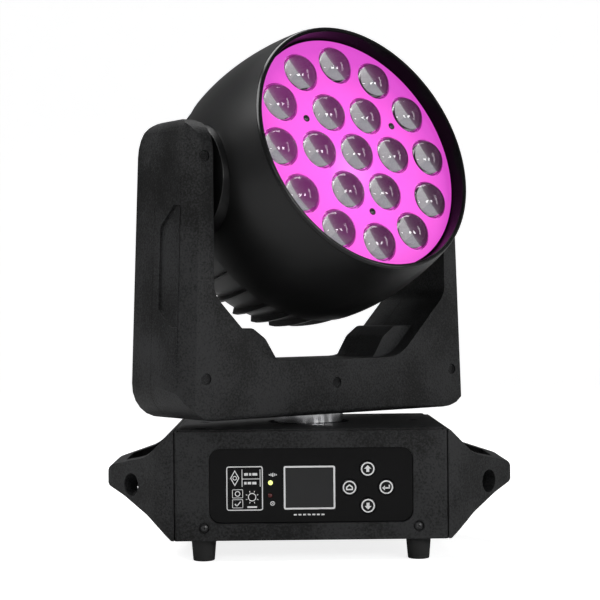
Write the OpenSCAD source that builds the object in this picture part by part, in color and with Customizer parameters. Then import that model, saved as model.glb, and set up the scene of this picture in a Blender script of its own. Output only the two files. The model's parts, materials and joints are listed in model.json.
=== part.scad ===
// Moving head wash light: a floor base with carrying handles, a motorised yoke that pans on it,
// and a round head that tilts in the yoke and zooms nineteen lenses in front of its emitters.
// Lengths are millimetres. The origin is on the floor under the pan axis; the display faces -Y.

/* [Pose] */
// Pan of the yoke at rest, seen from above, front turning towards +X
rest_pan = 38; // [0:1:90]
// Tilt of the head at rest, from straight up towards the front of the yoke
rest_tilt = 70.2; // [0:0.1:130]

/* [Base] */
// Width of the base between its two side castings
base_w = 238; // [234:1:244]
// Depth of the base, front to back
base_d = 196; // [192:1:202]
// Height of the rubber feet
foot_h = 19; // [17:1:21]
// Height of the top of the base above the floor
base_top = 115; // [114:0.5:118]
// Wall thickness of the plastic casings
wall = 2.5; // [2:0.1:3]

/* [Handles] */
// Reach of each side casting beyond the base
handle_reach = 63.5; // [60:0.5:68]
// Radius of the safety cable eyes
eye_r = 10; // [8:0.5:11]
// Thickness of the casting around an eye
eye_wall = 14; // [12:0.5:15]

/* [Display] */
// Width of the display recess
display_w = 177; // [170:1:184]
// Height of the display recess
display_h = 65; // [60:1:68]
// Depth of the display recess behind the front face
display_depth = 5; // [4:0.5:6]
// Distance of each button from the middle of the button cross
button_pitch = 16; // [15:0.5:18]
// Radius of a button cap
button_r = 7; // [6:0.25:7.5]

/* [Yoke] */
// Underside of the yoke above the floor
yoke_bottom = 123.5; // [122:0.5:126]
// Top of the yoke arms above the floor
arm_top = 384; // [380:1:390]
// Half of the clear width between the arms
arm_inner = 136; // [135:0.5:138]
// Half of the outer width at the underside
yoke_half_w = 167.1; // [165:0.1:169]
// Half of the outer width at the top of the arms
arm_half_w = 156.4; // [156:0.1:158]
// Top of the crossbar above the floor
crossbar_top = 173.5; // [170:0.5:175]

/* [Head] */
// Height of the tilt axis above the floor
tilt_z = 332.7; // [331:0.1:335]
// Largest radius of the drum
drum_r = 127.3; // [125:0.1:128]
// Radius of the front lip
lip_r = 117; // [115:0.5:118]
// Front lip ahead of the tilt axis
lip_h = 92; // [90:0.5:94]
// Radius of the finned housing at its rear edge
rear_r = 109.5; // [106:0.5:111]
// Number of cooling fins round the rear housing
fin_count = 32; // [24:2:36]

/* [Optics] */
// Distance from each lens to the next
lens_pitch = 43.3; // [43:0.1:44]
// Radius of a lens
lens_r = 18.2; // [17.5:0.1:18.5]
// Height of a lens dome above the lens plate
dome_h = 10; // [8:0.5:11]
// Front of the lens plate ahead of the tilt axis
plate_h = 77; // [76:0.5:78]

/* [Drives] */
// Running clearance of a shaft in its bearing, on the radius
running = 0.05; // [0.02:0.01:0.09]
// Pitch radius of the pan pulley
pan_pulley_r = 55; // [50:1:58]
// Pitch radius of the pan motor pulley
pan_motor_r = 10; // [9:0.5:12]
// Pitch radius of the tilt pulley
tilt_pulley_r = 26; // [24:1:28]
// Pitch radius of the tilt motor pulley
tilt_motor_r = 8; // [7:0.5:9]

/* [Hidden] */
$fn = 72;
over = 1;             // overlap of cutting shapes beyond the face that they cut
arc_steps = 6;        // straight steps in a rounded corner of an outline
housing_top = 113.5;  // top of the base walls, a step below the cover
ledge_z = 108;        // underside of the ledge that carries the cover
cover_z = 111;        // underside of the cover
display_z = 66.1;     // middle of the display recess
display_face_y = -base_d / 2 + display_depth; // front of the display panel
panel_t = 3;          // thickness of the display panel
board_y = -base_d / 2 + 16; // front of the control board
screw_r = 3.6;        // casing screw heads
screw_shank_r = 1.9;  // their shanks
recess_r = 4.8;       // recesses round the screw heads
eye_z = 64.5;         // height of the safety cable eyes
collar_r = 32;        // polished pan shaft
collar_bore_r = 24;   // cable way through it
connector_z = 66;     // height of the row of connectors
connector_x = [-62, -30, 34, 66]; // data in, data out, power in, power out
fuse_x = 2;           // fuse, between the data and power connectors
rear_panel_y = base_d / 2 - 5.5;  // inner face of the rear panel
flange_y = rear_panel_y + wall;   // face that the connector flanges sit on
yoke_front = -42;     // front face of the yoke
yoke_rear = 43;       // rear face of the yoke
yoke_seam = 13.5;     // where the front and rear covers meet
hump_depth = 27;      // half depth of the blocks over the yoke's inner corners
draft = atan((yoke_half_w - arm_half_w) / (arm_top - yoke_bottom)); // lean of the arms' sides
chassis_t = 3;        // thickness of the chassis plates
chassis_x = arm_inner + wall + 0.5; // inner face of the chassis side plates
hub_r = 49;           // tilt hubs on the sides of the drum
hub_x = 131;          // outer face of a hub's flange
hub_shaft_r = 15;     // hollow tilt shafts
tilt_motor_z = 165;   // height of the tilt motor's axis
pulley_x = 145.5;     // inner face of the tilt pulleys
pulley_w = 7;         // width of the tilt pulleys
belt_gap = 0.3;       // clearance between a belt and its pulleys
belt_t = 1.5;         // thickness of a belt
motor_size = 42;      // square body of the pan and tilt motors
motor_shaft_r = 2.5;  // their shafts
drum_peak = 12;       // where the drum is widest, ahead of the tilt axis
drum_rear = -20;      // rear edge of the drum shell
fins_rear = -84;      // rear edge of the fins
shell_t = 3;          // wall of the drum shell and of the finned housing
post_r = lens_pitch * 1.34;   // circle of the zoom screws and guide rods
board_h = 12;         // front of the emitter board
screw_tip = 57;       // tips of the zoom screws and guide rods
zoom_post_r = 3;      // radius of the zoom screws and guide rods

// ---- Outlines: lists of corners [x, y, radius], anticlockwise ----
function unit(v) = v / norm(v);
function left_of(v) = [-v[1], v[0]];
function turn(a, b) = a[0] * b[1] - a[1] * b[0];
function spot(c, i) = let (k = (i + len(c)) % len(c)) [c[k][0], c[k][1]];
function ahead(c, i) = unit(spot(c, i + 1) - spot(c, i));

// The corner's arc, or the corner itself where its radius is 0
function corner_points(c, i, n) =
    let (p = spot(c, i), r = c[i][2], u = ahead(c, i - 1), w = ahead(c, i))
    r == 0 ? [p] :
    let (
        side = turn(u, w) > 0 ? 1 : -1,
        half = acos(-(u * w)) / 2,
        start = p - u * r / tan(half),
        middle = start + left_of(u) * r * side,
        first = start - middle,
        sweep = side * (180 - 2 * half)
    )
    [for (k = [0:n]) let (a = sweep * k / n)
        middle + [first[0] * cos(a) - first[1] * sin(a), first[0] * sin(a) + first[1] * cos(a)]];

function rounded(c, n = arc_steps) = [for (i = [0:len(c) - 1]) each corner_points(c, i, n)];

// The same outline moved inwards by d, its arcs kept concentric
function shrunk(c, d) = [for (i = [0:len(c) - 1])
    let (
        u = ahead(c, i - 1),
        w = ahead(c, i),
        p = spot(c, i) + d * (left_of(u) + left_of(w)) / (1 + left_of(u) * left_of(w)),
        r = c[i][2]
    )
    [p[0], p[1], r == 0 ? 0 : turn(u, w) > 0 ? max(r - d, 0.5) : r + d]];

function rect(w, d, r) = [[-w / 2, -d / 2, r], [w / 2, -d / 2, r], [w / 2, d / 2, r], [-w / 2, d / 2, r]];
function mirrored(c) = [for (i = [len(c) - 1:-1:0]) [-c[i][0], c[i][1], c[i][2]]];

// Extrudes an outline drawn in X and Z along Y, from y0 to y1
module along_y(y0, y1) {
    translate([0, y1, 0]) rotate([90, 0, 0]) linear_extrude(y1 - y0) children();
}
// Extrudes an outline drawn in Y and Z along X, from x0 to x1
module along_x(x0, x1) {
    translate([x0, 0, 0]) rotate([90, 0, 90]) linear_extrude(x1 - x0) children();
}
module rod_y(x, z, y0, y1, r) {
    translate([x, y0, z]) rotate([-90, 0, 0]) cylinder(r = r, h = y1 - y0);
}
module rod_x(x0, x1, r) {
    translate([x0, 0, 0]) rotate([0, 90, 0]) cylinder(r = r, h = x1 - x0);
}
module block(low, high) {
    translate(low) cube(high - low);
}
module tube(r_out, r_in, h) {
    difference() {
        cylinder(r = r_out, h = h);
        translate([0, 0, -over]) cylinder(r = r_in, h = h + 2 * over);
    }
}
// Outline of a belt round pulleys of radius r1 and r2, their centres a span apart along X
function belt_loop(r1, r2, span, n = 24) =
    let (a = acos((r1 - r2) / span))
    [
        for (k = [0:n]) let (b = -a + 2 * a * k / n) [span, 0] + r2 * [cos(b), sin(b)],
        for (k = [0:n]) let (b = a + (360 - 2 * a) * k / n) r1 * [cos(b), sin(b)]
    ];
module belt(r1, r2, span, width) {
    linear_extrude(width) difference() {
        polygon(belt_loop(r1 + belt_gap + belt_t, r2 + belt_gap + belt_t, span));
        polygon(belt_loop(r1 + belt_gap, r2 + belt_gap, span));
    }
}
module in_yoke() {
    rotate([0, 0, rest_pan]) children();
}
module in_head() {
    in_yoke() translate([0, 0, tilt_z]) rotate([rest_tilt, 0, 0]) children();
}

// ---- Base ----
cover_screws = [[-96, 0], [96, 0], [-96, 84], [96, 84], [-96, -84], [96, -84]];
front_screws = [[-93, 30], [93, 30]];
foot_spots = [[-94, -80], [94, -80], [-94, 80], [94, 80]];

module base_housing() {
    frame_t = 4;
    rear_w = 186;
    rear_h = 56;
    color([0.16, 0.16, 0.17])
    difference() {
        union() {
            difference() {
                translate([0, 0, foot_h]) linear_extrude(housing_top - foot_h)
                    polygon(rounded(rect(base_w, base_d, 3)));
                translate([0, 0, foot_h - over]) linear_extrude(ledge_z - foot_h + over)
                    polygon(rounded(rect(base_w - 2 * wall, base_d - 2 * wall, 1)));
                translate([0, 0, ledge_z - over]) linear_extrude(cover_z - ledge_z + 2 * over)
                    polygon(rounded(rect(base_w - 56, base_d - 44, 6)));
                translate([0, 0, cover_z]) linear_extrude(housing_top)
                    polygon(rounded(rect(base_w - 6, base_d - 6, 2)));
            }
            // sleeve behind the display opening
            translate([0, 0, display_z]) along_y(-base_d / 2 + 1, display_face_y)
                polygon(rounded(rect(display_w + 2 * frame_t, display_h + 2 * frame_t, 14)));
            for (s = front_screws) rod_y(s[0], s[1], -base_d / 2 + 1, -base_d / 2 + 12, 6);
        }
        translate([0, 0, display_z]) along_y(-base_d / 2 - over, display_face_y + over)
            polygon(rounded(rect(display_w, display_h, 10)));
        translate([0, 0, connector_z]) along_y(base_d / 2 - 2 * wall, base_d / 2 + over)
            polygon(rounded(rect(rear_w, rear_h, 4)));
        for (s = front_screws) {
            rod_y(s[0], s[1], -base_d / 2 - over, -base_d / 2 + 3, recess_r);
            rod_y(s[0], s[1], -base_d / 2, -base_d / 2 + 13, 2);
        }
        for (s = cover_screws) translate([s[0], s[1], ledge_z - over]) cylinder(r = 2, h = 5);
    }
}

module base_top_cover() {
    color([0.18, 0.18, 0.19])
    difference() {
        translate([0, 0, cover_z]) linear_extrude(base_top - cover_z)
            polygon(rounded(rect(base_w - 8, base_d - 8, 3)));
        translate([0, 0, cover_z - over]) cylinder(r = collar_r + 6, h = 10);
        for (s = cover_screws) translate([s[0], s[1], 0]) {
            translate([0, 0, base_top - 2.4]) cylinder(r = recess_r, h = 5);
            translate([0, 0, cover_z - over]) cylinder(r = 2, h = 5);
        }
    }
}

bracket_spots = [[-75, -45], [75, -45], [-75, 45], [75, 45]];
module base_bottom_plate() {
    color([0.3, 0.3, 0.32])
    difference() {
        translate([0, 0, foot_h]) linear_extrude(wall)
            polygon(rounded(rect(base_w - 2 * wall - 1, base_d - 2 * wall - 1, 1)));
        for (s = bracket_spots) translate([s[0], s[1], foot_h - over]) cylinder(r = 5, h = 5);
        for (s = foot_spots) translate([s[0], s[1], foot_h - over]) cylinder(r = 2.5, h = 5);
    }
}

// Front view and plan of the right casting; eye_line runs along its slanted front face
tip_x = base_w / 2 + handle_reach;
ear = [[137, -86], [tip_x, -35.5]];
eye_along = unit(ear[1] - ear[0]);
eye_out = [eye_along[1], -eye_along[0]];
eye_middle = ear[0] + eye_along * 33;
grip_t = 16.5;
function ear_inner_y(x) =
    let (p = ear[0] - eye_out * eye_wall) p[1] + (x - p[0]) * eye_along[1] / eye_along[0];
handle_front = [
    [base_w / 2, foot_h, 0], [base_w / 2 + 2.5, foot_h, 2], [143, 39, 50], [166, 53.9, 40],
    [tip_x, 62, 5], [tip_x, 79.5, 8], [144, 90.2, 25], [121, 113.5, 4],
    [base_w / 2, housing_top, 0]
];
handle_plan = [
    [base_w / 2, -base_d / 2, 0], [128, -94, 12], [ear[0][0], ear[0][1], 12],
    [tip_x, ear[1][1], 8], [tip_x, -ear[1][1], 8], [ear[0][0], -ear[0][1], 12],
    [128, 94, 12], [base_w / 2, base_d / 2, 0]
];
slot_in_x = 127;
slot_out_x = tip_x - grip_t;
slot_mid_x = 139.5;
slot_plan = [
    [slot_in_x, ear_inner_y(slot_mid_x), 6], [slot_mid_x, ear_inner_y(slot_mid_x), 6],
    [slot_out_x, ear_inner_y(slot_out_x), 8], [slot_out_x, -ear_inner_y(slot_out_x), 8],
    [slot_mid_x, -ear_inner_y(slot_mid_x), 6], [slot_in_x, -ear_inner_y(slot_mid_x), 6]
];

module side_casting() {
    difference() {
        intersection() {
            along_y(-base_d / 2, base_d / 2) polygon(rounded(handle_front, 4));
            linear_extrude(base_top + over) polygon(rounded(handle_plan, 4));
        }
        translate([0, 0, -over]) linear_extrude(base_top + 3 * over) polygon(rounded(slot_plan, 4));
        for (s = [1, -1]) translate([eye_middle[0], s * eye_middle[1], eye_z])
            rotate([0, 90, atan2(s * eye_out[1], eye_out[0])])
            translate([0, 0, -eye_wall - 3]) cylinder(r = eye_r, h = eye_wall + 6);
    }
}
module side_handle_right() {
    color([0.2, 0.2, 0.21]) side_casting();
}
module side_handle_left() {
    color([0.2, 0.2, 0.21]) mirror([1, 0, 0]) side_casting();
}

module rubber_feet() {
    color([0.05, 0.05, 0.05])
    for (s = foot_spots) translate([s[0], s[1], 0]) difference() {
        cylinder(r1 = 9.4, r2 = 11, h = foot_h);
        translate([0, 0, -over]) cylinder(r = 4.5, h = 9);
    }
}

module base_screws() {
    color([0.1, 0.1, 0.1]) {
        for (s = front_screws) {
            rod_y(s[0], s[1], -base_d / 2 + 0.9, -base_d / 2 + 3, screw_r);
            rod_y(s[0], s[1], -base_d / 2 + 2.9, -base_d / 2 + 12, screw_shank_r);
        }
        for (s = cover_screws) translate([s[0], s[1], 0]) {
            translate([0, 0, base_top - 2.4]) cylinder(r = screw_r, h = 2);
            translate([0, 0, ledge_z - 0.5]) cylinder(r = screw_shank_r, h = 6);
        }
    }
}

// ---- Display and buttons ----
lcd_low = [-24.2, 44.6];
lcd_high = [21.3, 83.1];
light_spots = [[-35.3, 68.3], [-35.7, 57.2]];
button_middle = [49.3, 63.6];

module display_panel() {
    hole_gap = 0.3;
    color([0.02, 0.02, 0.02])
    difference() {
        translate([0, 0, display_z]) along_y(display_face_y, display_face_y + panel_t)
            polygon(rounded(rect(display_w + 6, display_h + 6, 12)));
        block([lcd_low[0], display_face_y - over, lcd_low[1]],
            [lcd_high[0], display_face_y + panel_t + over, lcd_high[1]]);
        for (p = light_spots)
            rod_y(p[0], p[1], display_face_y - over, display_face_y + panel_t + over, 2.1);
        for (a = [0:90:270])
            rod_y(button_middle[0] + button_pitch * cos(a), button_middle[1] + button_pitch * sin(a),
                display_face_y - over, display_face_y + panel_t + over, button_r + hole_gap);
    }
}
module lcd_module() {
    frame = 3.5;
    color([0.1, 0.11, 0.12]) {
        block([lcd_low[0], display_face_y - 0.4, lcd_low[1]],
            [lcd_high[0], display_face_y + panel_t + 1, lcd_high[1]]);
        block([lcd_low[0] - frame, display_face_y + panel_t, lcd_low[1] - frame],
            [lcd_high[0] + frame, board_y, lcd_high[1] + frame]);
    }
}
module status_lights() {
    color([0.85, 0.9, 0.4])
    for (p = light_spots) rod_y(p[0], p[1], display_face_y - 0.6, board_y, 2);
}
module control_board() {
    color([0.05, 0.25, 0.12])
    block([-82, board_y, 36], [82, board_y + 1.6, 96]);
}
// A cap, the flange that keeps it behind the panel, and the stem that presses its switch
module button(angle) {
    x = button_middle[0] + button_pitch * cos(angle);
    z = button_middle[1] + button_pitch * sin(angle);
    back_y = display_face_y + panel_t;
    stem_gap = 1.4;
    color([0.03, 0.03, 0.03]) {
        rod_y(x, z, display_face_y - 1, back_y + 0.5, button_r);
        rod_y(x, z, back_y + 0.2, back_y + 1.4, button_r + 0.9);
        rod_y(x, z, back_y + 1, board_y - stem_gap, 2.5);
    }
}
module button_up() { button(90); }
module button_down() { button(270); }
module button_menu() { button(180); }
module button_enter() { button(0); }

// ---- Inside and behind the base ----
module power_supply() {
    color([0.62, 0.63, 0.65]) {
        block([62, -62, 36], [112, 62, 72]);
        for (y = [-56, 50]) block([80, y, foot_h + wall], [94, y + 6, 37]);
    }
}
module rear_panel() {
    color([0.12, 0.12, 0.13])
    difference() {
        translate([0, 0, connector_z]) along_y(rear_panel_y, flange_y)
            polygon(rounded(rect(200, 68, 2)));
        for (x = connector_x) rod_y(x, connector_z, rear_panel_y - over, flange_y + over, 12);
        rod_y(fuse_x, connector_z, rear_panel_y - over, flange_y + over, 7);
    }
}
// Round chassis connector: square flange, barrel and a socket with its contacts
module connector(x, socket_r, socket_depth) {
    face_y = flange_y + 2;
    difference() {
        union() {
            translate([x, 0, connector_z]) along_y(flange_y, face_y)
                polygon(rounded(rect(26, 31, 3)));
            rod_y(x, connector_z, rear_panel_y - 22, flange_y + 1, 11.8);
        }
        rod_y(x, connector_z, face_y - socket_depth, face_y + over, socket_r);
    }
}
module data_input() {
    x = connector_x[0];
    color([0.15, 0.15, 0.16]) {
        connector(x, 9.2, 16);
        for (a = [90, 210, 330])
            rod_y(x + 4.6 * cos(a), connector_z + 4.6 * sin(a), flange_y - 15, flange_y - 4.2, 1.2);
    }
}
latch_w = 7;
module data_output() {
    x = connector_x[1];
    color([0.15, 0.15, 0.16])
    difference() {
        connector(x, 9.2, 16);
        block([x - latch_w / 2 - 0.3, flange_y - 4, connector_z + 8.5],
            [x + latch_w / 2 + 0.3, flange_y + 3, connector_z + 11.4]);
    }
    color([0.3, 0.3, 0.3])
    difference() {
        rod_y(x, connector_z, flange_y - 14.5, flange_y - 4.5, 7.6);
        for (a = [90, 210, 330])
            rod_y(x + 4.6 * cos(a), connector_z + 4.6 * sin(a), flange_y - 13, flange_y, 1.3);
    }
}
module data_latch() {
    x = connector_x[1];
    color([0.5, 0.5, 0.52])
    block([x - latch_w / 2, flange_y - 1.5, connector_z + 9.3],
        [x + latch_w / 2, flange_y + 2.6, connector_z + 11]);
}
module power_socket(x) {
    connector(x, 10, 16);
    for (a = [90, 210, 330]) translate([x, 0, connector_z]) rotate([0, a, 0])
        block([4, flange_y - 15, -1.6], [5.6, flange_y - 4.2, 1.6]);
}
module power_inlet() {
    color([0.1, 0.2, 0.5]) power_socket(connector_x[2]);
}
module power_outlet() {
    color([0.6, 0.6, 0.62]) power_socket(connector_x[3]);
}
module fuse_holder() {
    color([0.08, 0.08, 0.08]) {
        rod_y(fuse_x, connector_z, rear_panel_y - 26, flange_y + 0.5, 6.8);
        rod_y(fuse_x, connector_z, flange_y, flange_y + 2.4, 8.5);
    }
}

// ---- Pan drive ----
pan_pulley_z = 76;
pan_pulley_w = 12;
pan_span = 85;
module pan_bearing() {
    color([0.7, 0.7, 0.72]) translate([0, 0, 94]) tube(50, collar_r + running, cover_z - 94);
}
module pan_motor() {
    half = motor_size / 2;
    color([0.2, 0.2, 0.22])
    difference() {
        block([-pan_span - half, -half, 34], [-pan_span + half, half, 74]);
        translate([-pan_span, 0, 60]) cylinder(r = motor_shaft_r + running, h = 20);
    }
    color([0.5, 0.5, 0.5])
    for (y = [-18, 14]) block([-pan_span - 6, y, foot_h + wall], [-pan_span + 6, y + 4, 34]);
}
module pan_motor_pulley() {
    color([0.75, 0.75, 0.77]) translate([-pan_span, 0, 0]) {
        translate([0, 0, pan_pulley_z]) cylinder(r = pan_motor_r, h = pan_pulley_w);
        translate([0, 0, 61]) cylinder(r = motor_shaft_r, h = 16);
    }
}
module pan_belt() {
    color([0.06, 0.06, 0.06]) translate([0, 0, pan_pulley_z + 1.5]) mirror([1, 0, 0])
        belt(pan_pulley_r, pan_motor_r, pan_span, pan_pulley_w - 3);
}
module pan_shaft() {
    color([0.85, 0.85, 0.87]) in_yoke() {
        translate([0, 0, 70]) tube(collar_r, collar_bore_r, yoke_bottom + wall + 1 - 70);
        translate([0, 0, yoke_bottom + wall]) tube(38, collar_bore_r, 2);
    }
}
module pan_pulley() {
    color([0.72, 0.73, 0.75]) in_yoke() translate([0, 0, pan_pulley_z])
        tube(pan_pulley_r, collar_r, pan_pulley_w);
}

// ---- Yoke ----
yoke_side = [
    [yoke_half_w, yoke_bottom, 30], [arm_half_w, arm_top, 11], [arm_inner, arm_top, 8],
    [arm_inner, 232, 20], [arm_inner - 232 + crossbar_top, crossbar_top, 40]
];
yoke_outline = concat(yoke_side, mirrored(yoke_side));
yoke_profile = [
    [yoke_front, yoke_bottom, 5], [yoke_rear, yoke_bottom, 5], [yoke_rear, arm_top, 30],
    [yoke_front, arm_top, 30]
];
hump = [
    [50, crossbar_top - 12, 0], [120, crossbar_top - 12, 0], [120, 202.5, 0],
    [84, 202.5, 10], [70, 193, 14], [57, crossbar_top, 6], [50, crossbar_top, 0]
];
pocket = [[-26, 204, 2], [-16, 204, 2], [4, 220, 4], [4, 291, 4], [-16, 309, 2], [-26, 309, 2]];
pocket_depth = 2;
chamfer_y = -26;
chamfer_w = 9;

// Cuts the slanted band between the front face and the side of an arm, inset by inset
module arm_chamfer(inset) {
    angle = atan2(chamfer_w, chamfer_y - yoke_front);
    translate([yoke_half_w, chamfer_y, yoke_bottom]) rotate([0, -draft, 0]) rotate([0, 0, -angle])
        translate([-inset, -60, -40]) cube([60, 120, 400]);
}
module arm_pocket(inset) {
    mid_z = 253;
    side_x = yoke_half_w - (mid_z - yoke_bottom) * tan(draft);
    translate([side_x - inset - pocket_depth, 0, mid_z]) rotate([0, -draft, 0])
        translate([0, 0, -mid_z]) along_x(0, 20) polygon(rounded(shrunk(pocket, -inset), 3));
}
// The whole yoke as one block, its faces moved inwards by inset
module yoke_block(inset) {
    difference() {
        intersection() {
            along_y(yoke_front - over, yoke_rear + over)
                polygon(rounded(shrunk(yoke_outline, inset)));
            along_x(-yoke_half_w - over, yoke_half_w + over)
                polygon(rounded(shrunk(yoke_profile, inset)));
        }
        for (s = [0, 1]) mirror([s, 0, 0]) {
            arm_chamfer(inset);
            arm_pocket(inset);
        }
    }
    for (s = [0, 1]) mirror([s, 0, 0])
        along_y(-hump_depth + inset, hump_depth - inset) polygon(rounded(shrunk(hump, inset), 4));
}
yoke_screw_spots = [[-145, 350], [145, 350], [-145, 160], [145, 160], [0, 152]];
module yoke_shell() {
    difference() {
        yoke_block(0);
        yoke_block(wall);
        translate([0, 0, tilt_z]) rod_x(-arm_inner - 2 * wall, arm_inner + 2 * wall, 26);
        translate([0, 0, yoke_bottom - over]) cylinder(r = collar_r + 1, h = 2 * wall);
        for (s = yoke_screw_spots) {
            rod_y(s[0], s[1], yoke_front - over, yoke_front + 2, recess_r);
            rod_y(s[0], s[1], yoke_rear - 2, yoke_rear + over, recess_r);
        }
    }
}
module yoke_front_cover() {
    color([0.17, 0.17, 0.18]) in_yoke() intersection() {
        yoke_shell();
        block([-200, yoke_front - over, 0], [200, yoke_seam, 400]);
    }
}
module yoke_rear_cover() {
    color([0.17, 0.17, 0.18]) in_yoke() intersection() {
        yoke_shell();
        block([-200, yoke_seam, 0], [200, yoke_rear + over, 400]);
    }
}
module yoke_screws() {
    color([0.1, 0.1, 0.1]) in_yoke() for (s = yoke_screw_spots) {
        rod_y(s[0], s[1], yoke_front + 0.5, yoke_front + 2, screw_r);
        rod_y(s[0], s[1], yoke_rear - 2, yoke_rear - 0.5, screw_r);
    }
}
module yoke_chassis() {
    half_d = 30;
    low_z = yoke_bottom + wall + 2;
    side_top = 358;
    color([0.6, 0.61, 0.63]) in_yoke() difference() {
        union() {
            block([-chassis_x - chassis_t, -half_d, low_z],
                [chassis_x + chassis_t, half_d, low_z + chassis_t]);
            for (s = [-1, 1]) block([s * (chassis_x + chassis_t / 2) - chassis_t / 2, -half_d, low_z],
                [s * (chassis_x + chassis_t / 2) + chassis_t / 2, half_d, side_top]);
        }
        translate([0, 0, low_z - over]) cylinder(r = collar_bore_r, h = chassis_t + 2 * over);
        translate([0, 0, tilt_z]) rod_x(-150, 150, 22);
        translate([0, 0, tilt_motor_z]) rod_x(120, 150, 11);
    }
}
module driver_board() {
    color([0.05, 0.25, 0.12]) in_yoke() {
        block([-62, -24, 139], [62, 30, 140.6]);
        for (x = [-58, 54]) for (y = [-20, 24])
            block([x, y, yoke_bottom + wall + 5], [x + 4, y + 4, 139]);
    }
}

// ---- Tilt drive ----
module tilt_bearings() {
    color([0.75, 0.75, 0.77]) in_yoke() translate([0, 0, tilt_z]) for (s = [0, 1]) mirror([s, 0, 0])
        translate([arm_inner + 1, 0, 0]) rotate([0, 90, 0]) tube(22, hub_shaft_r + running, 7);
}
module tilt_motor() {
    half = motor_size / 2;
    color([0.2, 0.2, 0.22]) in_yoke() translate([0, 0, tilt_motor_z]) difference() {
        union() {
            block([chassis_x - 38, -half, -half], [chassis_x, half, half]);
            rod_x(chassis_x - 1, chassis_x + 2, 10.8);
        }
        rod_x(chassis_x - 12, chassis_x + 5, motor_shaft_r + running);
    }
}
module tilt_motor_pulley() {
    color([0.75, 0.75, 0.77]) in_yoke() translate([0, 0, tilt_motor_z]) {
        rod_x(pulley_x, pulley_x + pulley_w, tilt_motor_r);
        rod_x(chassis_x - 10, pulley_x + 1, motor_shaft_r);
    }
}
module tilt_belt() {
    color([0.06, 0.06, 0.06]) in_yoke() translate([pulley_x + 1, 0, tilt_z]) rotate([0, 90, 0])
        belt(tilt_pulley_r, tilt_motor_r, tilt_z - tilt_motor_z, pulley_w - 2);
}
module tilt_pulley() {
    color([0.72, 0.73, 0.75]) in_head() translate([pulley_x, 0, 0]) rotate([0, 90, 0])
        tube(tilt_pulley_r, hub_shaft_r, pulley_w);
}
module tilt_hub() {
    difference() {
        union() {
            rod_x(hub_x - 18, hub_x, hub_r);
            rod_x(hub_x - 1, arm_inner - 0.5, 20);
            rod_x(hub_x, pulley_x + pulley_w + 1, hub_shaft_r);
        }
        rod_x(hub_x - 30, 160, 9);
        rod_x(hub_x - 19, hub_x - 5, hub_r - 6);
    }
}
module tilt_hub_right() {
    color([0.12, 0.12, 0.13]) in_head() tilt_hub();
}
module tilt_hub_left() {
    color([0.12, 0.12, 0.13]) in_head() mirror([1, 0, 0]) tilt_hub();
}

// ---- Head ----
// Radius of the drum's barrel curve at a height along the optical axis
function barrel(h) = h > drum_peak
    ? drum_r - (drum_r - lip_r) * pow((h - drum_peak) / (lip_h - drum_peak), 2)
    : drum_r - (drum_r - rear_r) * pow((h - drum_peak) / (fins_rear + 2 - drum_peak), 2);
lip_t = 4;
well_r = lip_r - lip_t;      // radius of the well in front of the lens plate
bezel_seam = lip_h - 3;

module hub_pockets() {
    for (s = [0, 1]) mirror([s, 0, 0]) rod_x(hub_x - 18.3, 160, hub_r + 0.3);
}
module drum_shell() {
    steps = 16;
    color([0.14, 0.14, 0.15]) in_head() difference() {
        rotate_extrude() polygon([
            for (i = [0:steps]) let (h = drum_rear + (bezel_seam - drum_rear) * i / steps)
                [barrel(h), h],
            for (i = [steps:-1:0]) let (h = drum_rear + (bezel_seam - drum_rear) * i / steps)
                [barrel(h) - shell_t, h]
        ]);
        hub_pockets();
    }
}
module front_bezel() {
    well_floor = 56;
    color([0.04, 0.04, 0.045]) in_head() rotate_extrude() polygon([
        [well_r, well_floor], [barrel(well_floor) - shell_t - 0.3, well_floor],
        [barrel(bezel_seam) - shell_t - 0.3, bezel_seam], [barrel(bezel_seam), bezel_seam],
        [lip_r, lip_h - 1], [lip_r - 1, lip_h], [well_r + 1, lip_h], [well_r, lip_h - 1]
    ]);
}
module finned_housing() {
    steps = 8;
    bands = 4;
    body_r = 112;
    fin_t = 2;
    fin_depth = 6;
    front_h = drum_rear - 0.5;
    rear_h = fins_rear + 6;
    body_h = front_h + 1.5;
    color([0.09, 0.09, 0.1]) in_head() difference() {
        union() {
            rotate_extrude() polygon([
                [body_r - shell_t, drum_rear + 9], [body_r, drum_rear + 9],
                for (k = [0:bands]) let (h = body_h + (rear_h - body_h) * k / bands)
                    [barrel(h) - fin_depth, h],
                [98, fins_rear], [69, fins_rear - 4], [62, fins_rear - 4], [62, fins_rear - 1],
                [96, fins_rear + 3],
                for (k = [bands:-1:0]) let (h = body_h + (rear_h - body_h) * k / bands)
                    [barrel(h) - fin_depth - shell_t, h - 2]
            ]);
            for (i = [0:fin_count - 1]) rotate([0, 0, (i + 0.5) * 360 / fin_count])
                translate([0, fin_t / 2, 0]) rotate([90, 0, 0]) linear_extrude(fin_t) polygon([
                    for (k = [0:steps]) let (h = front_h + (rear_h - front_h) * k / steps)
                        [barrel(h) - 0.5, h],
                    [barrel(rear_h) - 4, fins_rear - 1], [86, fins_rear - 1], [97, fins_rear + 1],
                    for (k = [steps:-1:0]) let (h = front_h + (rear_h - front_h) * k / steps)
                        [barrel(h) - fin_depth - 1, h]
                ]);
        }
        hub_pockets();
    }
}
module rear_grille() {
    slots = 16;
    rim_r = 66;
    color([0.1, 0.1, 0.11]) in_head() translate([0, 0, fins_rear - 4]) difference() {
        rotate_extrude() polygon([
            [0, -10], [40, -9], [rim_r - 6, -5], [rim_r, 0], [rim_r - 4, 0], [rim_r - 9, -2.4],
            [40, -6.4], [0, -7.4]
        ]);
        for (i = [0:slots - 1]) rotate([0, 0, i * 360 / slots])
            block([18, -2.6, -12], [52, 2.6, 2]);
    }
}

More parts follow.
